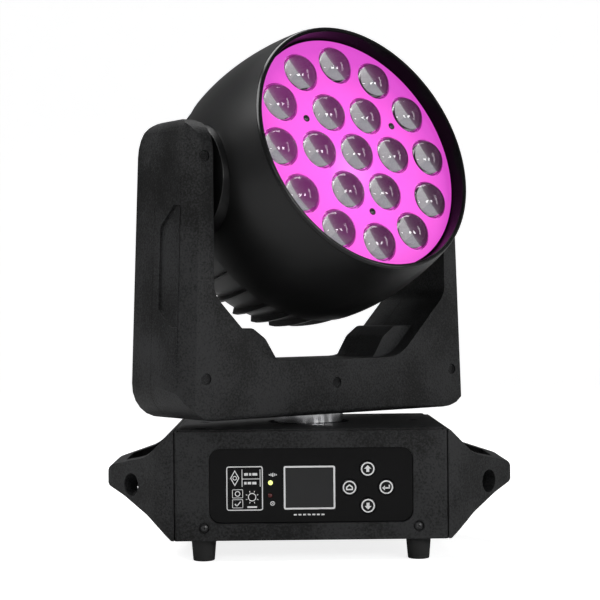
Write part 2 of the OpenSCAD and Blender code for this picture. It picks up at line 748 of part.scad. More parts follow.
// ---- Inside the head ----
lens_spots = [
    [0, 0],
    for (a = [0:60:300]) lens_pitch * [cos(a), sin(a)],
    for (a = [0:30:330]) 2 * lens_pitch * [cos(a), sin(a)]
];
screw_angles = [30, 150, 270];
rod_angles = [90, 210, 330];
module at_posts(angles) {
    for (a = angles) rotate([0, 0, a]) translate([post_r, 0, 0]) children();
}

module heat_sink() {
    fins = 11;
    pitch = 17;
    color([0.7, 0.7, 0.72]) in_head() {
        cylinder(r = 104, h = board_h - 2);
        intersection() {
            for (i = [0:fins - 1]) block([(i - (fins - 1) / 2) * pitch - 1.5, -100, -36],
                [(i - (fins - 1) / 2) * pitch + 1.5, 100, 1]);
            translate([0, 0, -37]) cylinder(r = 100, h = 40);
        }
        for (s = [0, 1]) mirror([s, 0, 0]) block([97, -32, -11], [hub_x - 5, 32, 4]);
    }
}
module led_board() {
    color([0.9, 0.9, 0.92]) in_head() translate([0, 0, board_h - 2]) cylinder(r = 106, h = 2);
}
module led_emitters() {
    color([0.95, 0.85, 0.3]) in_head() for (p = lens_spots)
        translate([p[0] - 4, p[1] - 4, board_h]) cube([8, 8, 2]);
}
module zoom_motors() {
    color([0.3, 0.3, 0.32]) in_head() translate([0, 0, board_h]) at_posts(screw_angles)
        difference() {
            cylinder(r = 12, h = 17);
            translate([0, 0, 9]) cylinder(r = zoom_post_r + running, h = 10);
        }
}
module zoom_screw(angle) {
    foot = board_h + 10;
    color([0.8, 0.8, 0.82]) in_head() at_posts([angle]) translate([0, 0, foot])
        cylinder(r = zoom_post_r, h = screw_tip - foot);
}
module zoom_screw_1() { zoom_screw(screw_angles[0]); }
module zoom_screw_2() { zoom_screw(screw_angles[1]); }
module zoom_screw_3() { zoom_screw(screw_angles[2]); }
module guide_rods() {
    color([0.8, 0.8, 0.82]) in_head() at_posts(rod_angles) translate([0, 0, board_h])
        cylinder(r = zoom_post_r, h = screw_tip - board_h);
}
module fan_frame() {
    color([0.07, 0.07, 0.07]) in_head() translate([0, 0, -66]) {
        tube(58, 53, 20);
        tube(14, 4 + running, 4);
        for (a = [0:90:270]) rotate([0, 0, a + 45]) block([13, -2, 0], [54, 2, 3]);
        for (a = [0:90:270]) rotate([0, 0, a]) block([56, -6, 10], [72, 6, 14]);
        for (a = [0:90:270]) rotate([0, 0, a]) block([68, -6, 12], [72, 6, 30]);
    }
}
module fan_rotor() {
    blades = 7;
    color([0.05, 0.05, 0.05]) in_head() translate([0, 0, -61]) {
        cylinder(r = 19, h = 13);
        translate([0, 0, -4.5]) cylinder(r = 4, h = 6);
        for (i = [0:blades - 1]) rotate([0, 0, i * 360 / blades]) translate([0, 0, 6.5])
            rotate([34, 0, 0]) block([17, -8, -0.8], [51, 8, 0.8]);
    }
}
plate_t = 3;
plate_r = 111;
module lens_plate() {
    color([1, 0.35, 0.95]) in_head() translate([0, 0, plate_h - plate_t]) difference() {
        cylinder(r = plate_r, h = plate_t);
        for (p = lens_spots) translate([p[0], p[1], -over]) cylinder(r = lens_r + 0.05, h = 5);
        at_posts(screw_angles) translate([0, 0, -over]) cylinder(r = 1.6, h = 5);
    }
}
module lenses() {
    dome_r = (pow(lens_r, 2) + pow(dome_h, 2)) / (2 * dome_h);
    skirt = 9;
    color([0.85, 0.85, 0.9, 0.6]) in_head() for (p = lens_spots)
        translate([p[0], p[1], plate_h]) {
            translate([0, 0, -skirt]) cylinder(r = lens_r, h = skirt);
            intersection() {
                translate([0, 0, dome_h - dome_r]) sphere(r = dome_r);
                translate([0, 0, -0.5]) cylinder(r = lens_r, h = dome_h + 1);
            }
        }
}
module zoom_nuts() {
    nut_h = 24;
    color([0.75, 0.6, 0.3]) in_head() translate([0, 0, plate_h - plate_t - nut_h])
        at_posts(concat(screw_angles, rod_angles))
        tube(6, zoom_post_r + running, nut_h);
}
module plate_screws() {
    color([0.03, 0.03, 0.03]) in_head() translate([0, 0, plate_h]) at_posts(screw_angles) {
        cylinder(r = 3.2, h = 2);
        translate([0, 0, -plate_t]) cylinder(r = 1.5, h = plate_t + 1);
    }
}

base_housing();
base_top_cover();
base_bottom_plate();
side_handle_left();
side_handle_right();
rubber_feet();
base_screws();
display_panel();
lcd_module();
status_lights();
control_board();
power_supply();
rear_panel();
data_input();
data_output();
power_inlet();
power_outlet();
fuse_holder();
pan_bearing();
pan_motor();
pan_belt();
button_up();
button_down();
button_menu();
button_enter();
data_latch();
pan_motor_pulley();
pan_shaft();
pan_pulley();
yoke_chassis();
yoke_front_cover();
yoke_rear_cover();
yoke_screws();
driver_board();
tilt_bearings();
tilt_motor();
tilt_belt();
tilt_motor_pulley();
drum_shell();
front_bezel();
finned_housing();
rear_grille();
tilt_hub_left();
tilt_hub_right();
tilt_pulley();
heat_sink();
led_board();
led_emitters();
zoom_motors();
guide_rods();
fan_frame();
fan_rotor();
zoom_screw_1();
zoom_screw_2();
zoom_screw_3();
lens_plate();
lenses();
zoom_nuts();
plate_screws();
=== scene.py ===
# Moving head wash light: a base with carrying handles, a yoke that pans on it, and a round head
# that tilts in the yoke. The pieces are made in the order in which the light is put together.
import json
import math
import bpy
import bmesh
from mathutils import Matrix, Vector


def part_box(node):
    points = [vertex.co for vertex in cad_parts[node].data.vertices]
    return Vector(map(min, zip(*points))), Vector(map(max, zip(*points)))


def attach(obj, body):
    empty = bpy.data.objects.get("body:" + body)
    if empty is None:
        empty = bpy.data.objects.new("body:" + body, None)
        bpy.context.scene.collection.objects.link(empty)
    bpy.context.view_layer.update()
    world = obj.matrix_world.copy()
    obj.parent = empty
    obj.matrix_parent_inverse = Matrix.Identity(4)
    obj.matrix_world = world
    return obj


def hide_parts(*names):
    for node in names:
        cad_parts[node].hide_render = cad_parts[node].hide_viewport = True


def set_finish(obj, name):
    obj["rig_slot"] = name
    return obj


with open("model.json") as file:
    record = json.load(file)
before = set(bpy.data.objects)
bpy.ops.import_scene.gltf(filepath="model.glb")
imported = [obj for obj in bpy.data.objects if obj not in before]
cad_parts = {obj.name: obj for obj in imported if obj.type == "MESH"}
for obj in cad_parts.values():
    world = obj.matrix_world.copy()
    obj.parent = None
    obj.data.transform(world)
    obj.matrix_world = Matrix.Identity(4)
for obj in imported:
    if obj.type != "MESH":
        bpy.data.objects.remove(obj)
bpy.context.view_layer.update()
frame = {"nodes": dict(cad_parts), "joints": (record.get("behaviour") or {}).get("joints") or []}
nodes = frame["nodes"]
mm = 0.001

# ---- Studio: camera, floor and lights ----
# The light stands on a pale floor that curves up into a pale wall all round it. A large soft
# light hangs high on the left, with weaker ones on the right and behind the camera.
scene = bpy.context.scene
scene.view_settings.view_transform = "Standard"

camera_yaw = math.radians(-0.7982)
camera_pitch = math.radians(-0.4329)
camera_roll = math.radians(0.5314)
ahead = Vector((0, math.cos(camera_pitch), -math.sin(camera_pitch)))
level_up = Vector((0, math.sin(camera_pitch), math.cos(camera_pitch)))
level_right = Vector((1, 0, 0))
image_right = level_right * math.cos(camera_roll) - level_up * math.sin(camera_roll)
image_up = level_right * math.sin(camera_roll) + level_up * math.cos(camera_roll)
level_view = Matrix((image_right, image_up, -ahead)).transposed()
turned = Matrix.Rotation(camera_yaw, 3, "Z") @ level_view
camera_data = bpy.data.cameras.new("camera")
camera_data.sensor_width = 36
camera_data.lens = 91.63
camera_place = (-0.02664, -1.42007, 0.21672)
camera = bpy.data.objects.new("camera", camera_data)
camera.matrix_world = Matrix.Translation(camera_place) @ turned.to_4x4()
scene.collection.objects.link(camera)
scene.camera = camera


def add(tree, kind, inputs=None, **settings):
    """Adds a node, sets its settings, and gives each named input a value or a link."""
    node = tree.nodes.new(kind)
    for key, value in settings.items():
        setattr(node, key, value)
    for socket, value in (inputs or {}).items():
        if isinstance(value, bpy.types.NodeSocket):
            tree.links.new(value, node.inputs[socket])
        else:
            node.inputs[socket].default_value = value
    return node


def new_material(name):
    made = bpy.data.materials.new(name)
    made.use_nodes = True
    made.node_tree.nodes.clear()
    return made


def area_light(name, place, aim, width, height, power):
    data = bpy.data.lights.new(name, "AREA")
    data.shape = "RECTANGLE"
    data.size = width
    data.size_y = height
    data.energy = power
    lamp = bpy.data.objects.new(name, data)
    lamp.location = place
    lamp.rotation_euler = (Vector(aim) - Vector(place)).to_track_quat("-Z", "Y").to_euler()
    lamp.visible_camera = False
    lamp.visible_transmission = False
    scene.collection.objects.link(lamp)


# name, place, height it is aimed at, width, height and power in watts
for name, place, aim_z, width, height, power in (
        ("key_softbox", (-1.5, -0.5, 1.9), 0.3, 1.3, 1.3, 34),
        ("top_softbox", (-0.2, 0.6, 2.1), 0.3, 1.4, 1.0, 22),
        ("right_strip", (1.8, -0.5, 0.9), 0.25, 0.3, 1.2, 6),
        ("small_lamp_near", (0.66, -1.53, 0.66), 0.35, 0.31, 0.31, 5.0),
        ("small_lamp_far", (1.18, -1.20, 0.66), 0.35, 0.31, 0.31, 5.0),
        ("small_lamp_left", (-0.36, -1.62, 0.62), 0.35, 0.2, 0.2, 1.2)):
    area_light(name, place, (0, 0, aim_z), width, height, power)

# The paper is nearly white to the eye and gives the light's shell hardly any light. Both it and
# the air are brighter to rays inside a lens, so that the lenses show a pale room.
air_glow, air_glow_in_lens = 0.12, 0.36
paper_glow, paper_glow_in_lens, paper_glow_seen = 0.01, 0.26, 0.82
world = bpy.data.worlds.new("studio_air")
world.use_nodes = True
world.node_tree.nodes["Background"].inputs["Color"].default_value = (0.9, 0.92, 0.95, 1)
world_ray = add(world.node_tree, "ShaderNodeLightPath")
world_glow = add(world.node_tree, "ShaderNodeMapRange",
    {"Value": world_ray.outputs["Is Transmission Ray"], "To Min": air_glow,
        "To Max": air_glow_in_lens})
world.node_tree.links.new(world_glow.outputs["Result"],
    world.node_tree.nodes["Background"].inputs["Strength"])
scene.world = world

sweep_steps = 96
flat_r = 2.9  # where the floor starts to curve up
curve_r = 1.1
wall_top = 3.2
sweep_profile = [(1.5, 0), (flat_r, 0)]
sweep_profile += [(flat_r + curve_r * math.sin(a), curve_r - curve_r * math.cos(a)) for a in
    (math.radians(10 * k) for k in range(1, 10))]
sweep_profile += [(flat_r + curve_r, wall_top)]
sweep = bmesh.new()
rings = []
for radius, height in sweep_profile:
    rings.append([sweep.verts.new((radius * math.cos(math.tau * k / sweep_steps),
        radius * math.sin(math.tau * k / sweep_steps), height)) for k in range(sweep_steps)])
sweep.faces.new(rings[0])
for inner, outer in zip(rings, rings[1:]):
    for k in range(sweep_steps):
        after = k + 1 - sweep_steps
        sweep.faces.new((inner[k], outer[k], outer[after], inner[after])).smooth = True
sweep_mesh = bpy.data.meshes.new("studio_sweep")
sweep.to_mesh(sweep_mesh)
sweep.free()
floor = bpy.data.objects.new("studio_sweep", sweep_mesh)
scene.collection.objects.link(floor)
paper = new_material("studio_paper")
ray = add(paper.node_tree, "ShaderNodeLightPath")
through = add(paper.node_tree, "ShaderNodeMapRange",
    {"Value": ray.outputs["Is Transmission Ray"], "To Min": paper_glow,
        "To Max": paper_glow_in_lens})
glow = add(paper.node_tree, "ShaderNodeMapRange", {"Value": ray.outputs["Is Camera Ray"],
    "To Min": through.outputs["Result"], "To Max": paper_glow_seen})
paper_shader = add(paper.node_tree, "ShaderNodeBsdfPrincipled",
    {"Base Color": (0.6, 0.6, 0.6, 1), "Roughness": 0.9, "Specular IOR Level": 0.0,
        "Emission Color": (1, 1, 1, 1), "Emission Strength": glow.outputs["Result"]})
add(paper.node_tree, "ShaderNodeOutputMaterial", {"Surface": paper_shader.outputs["BSDF"]})
sweep_mesh.materials.append(paper)

# ---- Rubber feet ----
# Four tapered feet of soft black rubber with a moulded hollow underneath. Each is held by a
# screw into the bottom plate, and they carry the whole light.
sharp_angle = 32  # edges that turn by more degrees than this stay crisp
weld_reach = 0.002 * mm


def surface(name, colour, roughness, grain=0.6, depth=0.05, spread=0.25, metal=0.0,
        specular=0.5, roughness_spread=0.12, streaks=(1, 1, 1), window=0.2):
    """A finish with a fine grain of that size in millimetres, which also moves its tone.

    depth is the height of the grain in millimetres, and window is half the width of the ramp:
    a narrow one gives the tone more contrast.
    """
    made = new_material(name)
    tree = made.node_tree
    where = add(tree, "ShaderNodeTexCoord").outputs["Object"]
    along = add(tree, "ShaderNodeMapping", {"Vector": where, "Scale": streaks})
    fine = add(tree, "ShaderNodeTexNoise", {"Vector": along.outputs["Vector"],
        "Scale": 1000 / grain, "Detail": 3.0, "Roughness": 0.6})
    slow = add(tree, "ShaderNodeTexNoise", {"Vector": where, "Scale": 14, "Detail": 4.0,
        "Roughness": 0.55})
    both = add(tree, "ShaderNodeMath", {0: fine.outputs["Fac"], 1: slow.outputs["Fac"]},
        operation="ADD")
    half = add(tree, "ShaderNodeMath", {0: both.outputs[0], 1: 0.5}, operation="MULTIPLY")
    tone = add(tree, "ShaderNodeValToRGB", {"Fac": half.outputs[0]})
    tone.color_ramp.elements[0].position = 0.5 - window
    tone.color_ramp.elements[0].color = (*[c * (1 - spread) for c in colour], 1)
    tone.color_ramp.elements[1].position = 0.5 + window
    tone.color_ramp.elements[1].color = (*[min(1, c * (1 + spread)) for c in colour], 1)
    rough = add(tree, "ShaderNodeMapRange", {"Value": slow.outputs["Fac"], "From Min": 0.3,
        "From Max": 0.7, "To Min": max(0.02, roughness - roughness_spread / 2),
        "To Max": min(1, roughness + roughness_spread / 2)})
    relief = add(tree, "ShaderNodeBump", {"Height": fine.outputs["Fac"], "Strength": 0.6,
        "Distance": depth * mm})
    shader = add(tree, "ShaderNodeBsdfPrincipled", {"Base Color": tone.outputs["Color"],
        "Roughness": rough.outputs["Result"], "Normal": relief.outputs["Normal"],
        "Metallic": metal, "Specular IOR Level": specular})
    add(tree, "ShaderNodeOutputMaterial", {"Surface": shader.outputs["BSDF"]})
    return made


def finished(node, finish, slot, body, edge=0.4, steps=2):
    """A welded copy of a frame node with its edges rounded, in place of the node."""
    mesh = nodes[node].data.copy()
    mesh.name = node + "_finished"
    shape = bmesh.new()
    shape.from_mesh(mesh)
    bmesh.ops.remove_doubles(shape, verts=shape.verts, dist=weld_reach)
    bmesh.ops.dissolve_limit(shape, angle_limit=math.radians(0.5), verts=shape.verts,
        edges=shape.edges)
    for face in shape.faces:
        face.smooth = True
    shape.to_mesh(mesh)
    shape.free()
    for label in ("custom_normal", "sharp_edge"):
        if label in mesh.attributes:
            mesh.attributes.remove(mesh.attributes[label])
    mesh.set_sharp_from_angle(angle=math.radians(sharp_angle))
    mesh.materials.clear()
    mesh.materials.append(finish)
    piece = bpy.data.objects.new(mesh.name, mesh)
    scene.collection.objects.link(piece)
    if edge:
        rounding = piece.modifiers.new("rounded_edges", "BEVEL")
        rounding.width = edge * mm
        rounding.segments = steps
        rounding.limit_method = "ANGLE"
        rounding.angle_limit = math.radians(sharp_angle)
        rounding.use_clamp_overlap = False
        rounding.miter_outer = "MITER_ARC"
        rounding.harden_normals = True
    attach(piece, body)
    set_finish(piece, slot)
    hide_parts(node)


foot_rubber = surface("soft_foot_rubber", (0.012, 0.012, 0.012), 0.78, grain=0.9, depth=0.03)
finished("rubber_feet", foot_rubber, "foot_rubber", "base", edge=0.9, steps=3)

# ---- Base housing, bottom plate and handles ----
# The housing and its cover are injection moulded in black plastic with a spark-eroded grain,
# and the bottom plate is zinc-plated steel. A side moulding with a hand slot and two cable eyes
# is screwed on at each side.
housing_plastic = surface("grained_black_plastic", (0.0115, 0.0117, 0.0122), 0.5, grain=1.7,
    depth=0.34, spread=0.9, specular=0.26, window=0.07)
plated_steel = surface("zinc_plated_steel", (0.42, 0.43, 0.45), 0.34, grain=3, depth=0.01,
    metal=1.0, spread=0.12)
finished("base_housing", housing_plastic, "black_housing", "base", edge=0.5, steps=3)
finished("base_bottom_plate", plated_steel, "steel_plate", "base", edge=0.3)
finished("side_handle_left", housing_plastic, "black_housing", "base")
finished("side_handle_right", housing_plastic, "black_housing", "base")
finished("base_top_cover", housing_plastic, "black_housing", "base", edge=0.5)

# ---- Casing screws ----
# Black pan-head screws with cross recesses hold the casings. Each sits in a round counterbore,
# and its recess points wherever the driver left it.


def solids_of(node):
    """The corner points of each separate solid of a frame node, in the order of their middles."""
    shape = bmesh.new()
    shape.from_mesh(nodes[node].data)
    bmesh.ops.remove_doubles(shape, verts=shape.verts, dist=weld_reach)
    left = set(shape.verts)
    found = []
    while left:
        reached = [left.pop()]
        for vert in reached:
            near = {edge.other_vert(vert) for edge in vert.link_edges} & left
            left -= near
            reached.extend(near)
        found.append([vert.co.copy() for vert in reached])
    shape.free()
    return sorted(found, key=lambda points: [round(c / mm, 1) for c in middle_of(points)])


def middle_of(points):
    low = Vector([min(p[i] for p in points) for i in range(3)])
    high = Vector([max(p[i] for p in points) for i in range(3)])
    return (low + high) / 2


def new_nodes(name, sizes):
    """A Geometry Nodes tree that takes a mesh and named sizes. Gives the tree and its input."""
    tree = bpy.data.node_groups.new(name, "GeometryNodeTree")
    tree.interface.new_socket("Geometry", in_out="INPUT", socket_type="NodeSocketGeometry")
    for label, value in sizes.items():
        kind = "NodeSocketInt" if isinstance(value, int) else "NodeSocketFloat"
        tree.interface.new_socket(label, in_out="INPUT", socket_type=kind)
    tree.interface.new_socket("Geometry", in_out="OUTPUT", socket_type="NodeSocketGeometry")
    return tree, tree.nodes.new("NodeGroupInput").outputs


def grown(name, tree, sizes, made, finish, start):
    """Ends the tree in real faces with their finish, runs it on a mesh and keeps the result."""
    whole = add(tree, "GeometryNodeRealizeInstances", {"Geometry": made})
    dressed = add(tree, "GeometryNodeSetMaterial", {"Geometry": whole.outputs["Geometry"],
        "Material": finish})
    add(tree, "NodeGroupOutput", {"Geometry": dressed.outputs["Geometry"]})
    piece = bpy.data.objects.new(name, start)
    scene.collection.objects.link(piece)
    growth = piece.modifiers.new("growth", "NODES")
    growth.node_group = tree
    for socket in tree.interface.items_tree:
        if socket.in_out == "INPUT" and socket.name in sizes:
            growth[socket.identifier] = sizes[socket.name]
    ready = piece.evaluated_get(bpy.context.evaluated_depsgraph_get())
    mesh = bpy.data.meshes.new_from_object(ready)
    piece.modifiers.remove(growth)
    piece.data = mesh
    mesh.name = name
    mesh.set_sharp_from_angle(angle=math.radians(sharp_angle))
    return piece


full_head_h = 2.0


def screws(name, places, body, replaced, head_r=3.6, head_h=full_head_h):
    """Cross-recess screw heads at (point on the head's underside, direction it faces)."""
    start = bpy.data.meshes.new(name)
    start.from_pydata([place for place, facing in places], [], [])
    facings = start.attributes.new("facing", "FLOAT_VECTOR", "POINT")
    for i, (place, facing) in enumerate(places):
        facings.data[i].vector = facing
    sizes = {"Head radius": head_r * mm, "Head height": head_h * mm,
        "Recess width": 0.22 * head_r * mm, "Seed": 7}
    tree, given = new_nodes(name, sizes)
    blank = add(tree, "GeometryNodeMeshCylinder", {"Vertices": 40, "Radius": given["Head radius"],
        "Depth": given["Head height"]})
    ball_r = add(tree, "ShaderNodeMath", {0: given["Head radius"], 1: 1.55}, operation="MULTIPLY")
    ball = add(tree, "GeometryNodeMeshUVSphere", {"Segments": 46, "Rings": 34,
        "Radius": ball_r.outputs[0]})
    drop = add(tree, "ShaderNodeMath", {0: given["Head radius"], 1: -1.28}, operation="MULTIPLY")
    low = add(tree, "ShaderNodeCombineXYZ", {"Z": drop.outputs[0]})
    set_ball = add(tree, "GeometryNodeTransform", {"Geometry": ball.outputs["Mesh"],
        "Translation": low.outputs["Vector"]})
    domed = add(tree, "GeometryNodeMeshBoolean", {"Mesh 2": blank.outputs["Mesh"]},
        operation="INTERSECT")
    tree.links.new(set_ball.outputs["Geometry"], domed.inputs["Mesh 2"])
    across = add(tree, "ShaderNodeMath", {0: given["Head radius"], 1: 1.15}, operation="MULTIPLY")
    bar = add(tree, "ShaderNodeCombineXYZ", {"X": across.outputs[0], "Y": given["Recess width"],
        "Z": given["Head height"]})
    one = add(tree, "GeometryNodeMeshCube", {"Size": bar.outputs["Vector"]})
    raised = add(tree, "ShaderNodeMath", {0: given["Head height"], 1: 0.52}, operation="MULTIPLY")
    lift = add(tree, "ShaderNodeCombineXYZ", {"Z": raised.outputs[0]})
    one_up = add(tree, "GeometryNodeTransform", {"Geometry": one.outputs["Mesh"],
        "Translation": lift.outputs["Vector"]})
    two_up = add(tree, "GeometryNodeTransform", {"Geometry": one_up.outputs["Geometry"],
        "Rotation": (0, 0, math.radians(90))})
    crossed = add(tree, "GeometryNodeMeshBoolean", {"Mesh 1": domed.outputs["Mesh"],
        "Mesh 2": one_up.outputs["Geometry"]}, operation="DIFFERENCE")
    tree.links.new(two_up.outputs["Geometry"], crossed.inputs["Mesh 2"])
    half = add(tree, "ShaderNodeMath", {0: given["Head height"], 1: 0.5}, operation="MULTIPLY")
    stand = add(tree, "ShaderNodeCombineXYZ", {"Z": half.outputs[0]})
    head = add(tree, "GeometryNodeTransform", {"Geometry": crossed.outputs["Mesh"],
        "Translation": stand.outputs["Vector"]})
    facing = add(tree, "GeometryNodeInputNamedAttribute", {"Name": "facing"},
        data_type="FLOAT_VECTOR")
    turn = add(tree, "FunctionNodeAlignEulerToVector",
        {"Vector": facing.outputs["Attribute"]}, axis="Z")
    copies = add(tree, "GeometryNodeInstanceOnPoints", {"Points": given["Geometry"],
        "Instance": head.outputs["Geometry"], "Rotation": turn.outputs["Rotation"]})
    spin = add(tree, "FunctionNodeRandomValue", {"Seed": given["Seed"]}, data_type="FLOAT")
    spin.inputs[3].default_value = math.pi / 2
    yaw = add(tree, "ShaderNodeCombineXYZ", {"Z": spin.outputs[1]})
    driven = add(tree, "GeometryNodeRotateInstances", {"Instances": copies.outputs["Instances"],
        "Rotation": yaw.outputs["Vector"]})
    piece = grown(name, tree, sizes, driven.outputs["Instances"], black_steel, start)
    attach(piece, body)
    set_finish(piece, "screw_black")
    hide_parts(replaced)


def head_seat(points, facing, head_h=full_head_h):
    """The middle of a screw head's underside, from the screw's points and its direction."""
    centre = middle_of(points)
    top = max(p.dot(facing) for p in points)
    return centre + facing * (top - centre.dot(facing) - head_h * mm)


black_steel = surface("blacked_steel", (0.022, 0.022, 0.023), 0.34, grain=0.8, depth=0.02,
    specular=0.7)
cover_screw_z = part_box("base_housing")[1].z - 20 * mm  # screws above this stand upright
base_screw_places = []
for points in solids_of("base_screws"):
    upright = middle_of(points).z >= cover_screw_z
    facing = Vector((0, 0, 1)) if upright else Vector((0, -1, 0))
    base_screw_places.append((head_seat(points, facing), facing))
screws("base_screw_heads", base_screw_places, "base", "base_screws")

# ---- Display panel ----
# A gloss black acrylic panel sits behind the housing's window. A thin white ink is printed on
# it: frames, plain pictograms and the rings of the buttons.
gloss_panel = surface("gloss_black_acrylic", (0.0012, 0.0012, 0.0014), 0.10, grain=8, depth=0.004,
    spread=0.2, specular=0.16, roughness_spread=0.05)
white_ink = surface("white_screen_ink", (0.78, 0.78, 0.78), 0.5, grain=0.5, depth=0.01,
    spread=0.06)
finished("display_panel", gloss_panel, "gloss_black", "base", edge=0.3)
panel_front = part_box("display_panel")[0].y
ink_t = 0.05
ink_root = 0.01  # how far the ink reaches into the panel, so that no gap shows


def arc(cx, cz, radius, start, stop, steps):
    return [(cx + radius * math.cos(math.radians(start + (stop - start) * k / steps)),
        cz + radius * math.sin(math.radians(start + (stop - start) * k / steps)))
        for k in range(steps + 1)]


def round_box(cx, cz, w, h, radius, steps=5):
    """Outline of a box with round corners, anticlockwise, in millimetres."""
    x, z = w / 2 - radius, h / 2 - radius
    return (arc(cx + x, cz - z, radius, -90, 0, steps) + arc(cx + x, cz + z, radius, 0, 90, steps)
        + arc(cx - x, cz + z, radius, 90, 180, steps)
        + arc(cx - x, cz - z, radius, 180, 270, steps))


class Print:
    """Flat ink shapes on a face that looks towards -Y, in millimetres of X and Z."""

    def __init__(self, face_y):
        self.shape = bmesh.new()
        self.face_y = face_y

    def layer(self, points, y):
        return [self.shape.verts.new((x * mm, y, z * mm)) for x, z in points]

    def band(self, outer, inner):
        """The strip between two outlines that have as many points as each other."""
        back = self.face_y + ink_root * mm
        front = self.face_y - ink_t * mm
        loops = [self.layer(outer, front), self.layer(inner, front), self.layer(inner, back),
            self.layer(outer, back)]
        for a, b in zip(loops, loops[1:] + loops[:1]):
            for k in range(len(outer)):
                self.shape.faces.new((a[k - 1], a[k], b[k], b[k - 1]))

    def patch(self, points):
        front = self.layer(points, self.face_y - ink_t * mm)
        back = self.layer(points, self.face_y + ink_root * mm)
        self.shape.faces.new(front)
        self.shape.faces.new(back[::-1])
        for k in range(len(points)):
            self.shape.faces.new((front[k - 1], back[k - 1], back[k], front[k]))

    def frame(self, cx, cz, w, h, radius, stroke):
        self.band(round_box(cx, cz, w, h, radius),
            round_box(cx, cz, w - 2 * stroke, h - 2 * stroke, max(0.1, radius - stroke)))

    def bar(self, cx, cz, w, h):
        self.patch([(cx - w / 2, cz - h / 2), (cx + w / 2, cz - h / 2),
            (cx + w / 2, cz + h / 2), (cx - w / 2, cz + h / 2)])

    def stroke(self, points, width):
        """A line through the points, drawn as one short bar for each stretch."""
        for (ax, az), (bx, bz) in zip(points, points[1:]):
            length = math.hypot(bx - ax, bz - az)
            nx, nz = -(bz - az) / length * width / 2, (bx - ax) / length * width / 2
            self.patch([(ax + nx, az + nz), (ax - nx, az - nz), (bx - nx, bz - nz),
                (bx + nx, bz + nz)])

    def ring(self, cx, cz, radius, stroke, steps=40):
        self.band(arc(cx, cz, radius, 0, 360, steps)[:-1],
            arc(cx, cz, radius - stroke, 0, 360, steps)[:-1])

    def piece(self, name, finish, slot, body):
        bmesh.ops.recalc_face_normals(self.shape, faces=self.shape.faces)
        mesh = bpy.data.meshes.new(name)
        self.shape.to_mesh(mesh)
        self.shape.free()
        mesh.materials.append(finish)
        made = bpy.data.objects.new(name, mesh)
        scene.collection.objects.link(made)
        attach(made, body)
        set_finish(made, slot)


legend = Print(panel_front)
# plate of plain pictograms: a diamond, two rows of bars, two small cells and a lamp
plate_x, plate_z = -57.7, 63.6
legend.frame(plate_x, plate_z, 31.7, 38.4, 2.2, 0.9)
diamond_x, diamond_z = plate_x - 8.5, plate_z + 9


def diamond(half_w, half_h):
    return [(diamond_x, diamond_z - half_h), (diamond_x + half_w, diamond_z),
        (diamond_x, diamond_z + half_h), (diamond_x - half_w, diamond_z)]


legend.band(diamond(4, 7), diamond(3.1, 5.6))
legend.ring(diamond_x, diamond_z, 1.9, 0.6, 24)
for side in (-2.2, 13.5):
    legend.bar(plate_x + side, plate_z + 9, 0.6, 15)
legend.bar(plate_x + 5.6, plate_z + 8.2, 15, 0.6)
bar_gap = 0.9
for row, widths in ((12.2, (3.4, 2.0, 4.2)), (4.6, (2.2, 3.0, 3.6))):
    reach = plate_x - 0.4
    for width in widths:
        legend.bar(reach + width / 2, plate_z + row, width, 2.2)
        reach += width + bar_gap
cell_x = plate_x - 6.2
cell_up, cell_down = plate_z - 4.6, plate_z - 13.2
for cell_z in (cell_up, cell_down):
    legend.frame(cell_x, cell_z, 9.4, 7.6, 0.8, 0.5)
legend.ring(cell_x, cell_up, 2.4, 0.7, 24)
legend.stroke([(cell_x - 2.4, cell_down - 0.2), (cell_x - 0.6, cell_down - 2.0),
    (cell_x + 2.6, cell_down + 1.8)], 0.9)
lamp_x, lamp_z = plate_x + 6.4, plate_z - 7.6
legend.ring(lamp_x, lamp_z, 3.6, 0.7, 28)
for spoke in range(8):
    toward = math.radians(45 * spoke + 22.5)
    legend.stroke([(lamp_x + reach * math.cos(toward), lamp_z + reach * math.sin(toward))
        for reach in (4.4, 5.8)], 0.6)
legend.bar(lamp_x, lamp_z - 8.6, 8.4, 1.4)
# beside the lights: a signal sign above the first and a cross in a ring below the second
for k, height in enumerate((1.2, 2.2, 3.2, 2.2, 1.2)):
    legend.bar(-36.2 + 1.5 * k, 75.2, 0.9, height)
fault_x, fault_z = -33.6, 50.4
legend.ring(fault_x, fault_z, 2.0, 0.5, 24)
for slope in (1, -1):
    legend.stroke([(fault_x - 0.9, fault_z - 0.9 * slope),
        (fault_x + 0.9, fault_z + 0.9 * slope)], 0.5)
# under the display: a short row of dashes
dash_pitch = 4.0
for k in range(7):
    legend.bar(-13.9 + dash_pitch * k, 40.4, 2.6, 1.3)
legend.piece("panel_print", white_ink, "gloss_black", "base")

# ---- Display and status lights ----
# The liquid crystal module shows its dark glass through the panel, inside a printed white
# frame. Two light guides come through beside it: one lit yellow-green, one unlit red.
lcd_glass = surface("liquid_crystal_glass", (0.006, 0.0065, 0.007), 0.16, grain=0.35,
    depth=0.003, spread=0.15, specular=0.45, roughness_spread=0.05)
finished("lcd_module", lcd_glass, "display_glass", "base", edge=0.15)
lcd_low, lcd_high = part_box("lcd_module")
module_rim = 3.5
frame_inset = 0.4
window_x = (lcd_low.x + lcd_high.x) / 2 / mm
window_z = (lcd_low.z + lcd_high.z) / 2 / mm
window_w = (lcd_high.x - lcd_low.x) / mm - 2 * module_rim
window_h = (lcd_high.z - lcd_low.z) / mm - 2 * module_rim
window = Print(lcd_low.y)
window.frame(window_x, window_z, window_w - 2 * frame_inset, window_h - 2 * frame_inset,
    1.8, 1.5)
window.piece("display_frame_print", white_ink, "display_glass", "base")


